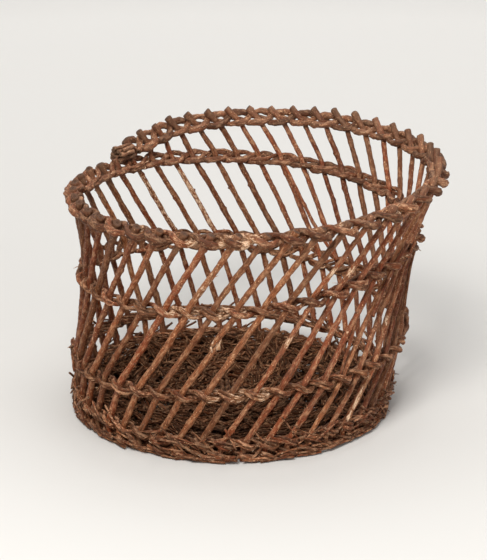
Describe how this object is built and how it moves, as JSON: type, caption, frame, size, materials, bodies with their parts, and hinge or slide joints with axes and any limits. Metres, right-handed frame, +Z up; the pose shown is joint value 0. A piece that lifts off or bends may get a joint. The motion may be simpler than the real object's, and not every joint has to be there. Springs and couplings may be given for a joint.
{
  "type": "openwork willow basket",
  "caption": "Round openwork willow basket: leaning stakes bound by a spiral wale that ends as the rim, on a woven flat base.",
  "frame": {"origin": "on the ground, under the middle of the basket's overall box", "axes": "+Z up; -Y the front, which faces the viewer; the basket leans towards +X and +Y as it rises"},
  "size_m": [0.455, 0.458, 0.3072],
  "materials": {
    "stake_willow": "aged unpeeled willow bark, red brown, satin with dry patches",
    "wale_willow": "aged unpeeled willow bark, dusty brown, peeled pale in places",
    "base_willow": "aged willow, dark brown and dry"
  },
  "bodies": {
    "root": {"stake_01": "stake_willow", "stake_02": "stake_willow", "stake_03": "stake_willow", "stake_04": "stake_willow", "stake_05": "stake_willow", "stake_06": "stake_willow", "stake_07": "stake_willow", "stake_08": "stake_willow", "stake_09": "stake_willow", "stake_10": "stake_willow", "stake_11": "stake_willow", "stake_12": "stake_willow", "stake_13": "stake_willow", "stake_14": "stake_willow", "stake_15": "stake_willow", "stake_16": "stake_willow", "stake_17": "stake_willow", "stake_18": "stake_willow", "stake_19": "stake_willow", "stake_20": "stake_willow", "stake_21": "stake_willow", "stake_22": "stake_willow", "stake_23": "stake_willow", "stake_24": "stake_willow", "stake_25": "stake_willow", "stake_26": "stake_willow", "stake_27": "stake_willow", "stake_28": "stake_willow", "stake_29": "stake_willow", "stake_30": "stake_willow", "stake_31": "stake_willow", "stake_32": "stake_willow", "stake_33": "stake_willow", "stake_34": "stake_willow", "stake_35": "stake_willow", "stake_36": "stake_willow", "stake_37": "stake_willow", "stake_38": "stake_willow", "stake_39": "stake_willow", "stake_40": "stake_willow", "stake_41": "stake_willow", "stake_42": "stake_willow", "stake_43": "stake_willow", "stake_44": "stake_willow", "stake_45": "stake_willow", "stake_46": "stake_willow", "wale_lower_a": "wale_willow", "wale_lower_b": "wale_willow", "wale_lower_c": "wale_willow", "wale_middle_a": "wale_willow", "wale_middle_b": "wale_willow", "wale_middle_c": "wale_willow", "wale_upper_a": "wale_willow", "wale_upper_b": "wale_willow", "wale_upper_c": "wale_willow", "rim_end_bundle": "wale_willow", "base_cross": "base_willow", "base_tie": "base_willow", "base_slew_a": "base_willow", "base_slew_b": "base_willow"}
  },
  "joints": []
}
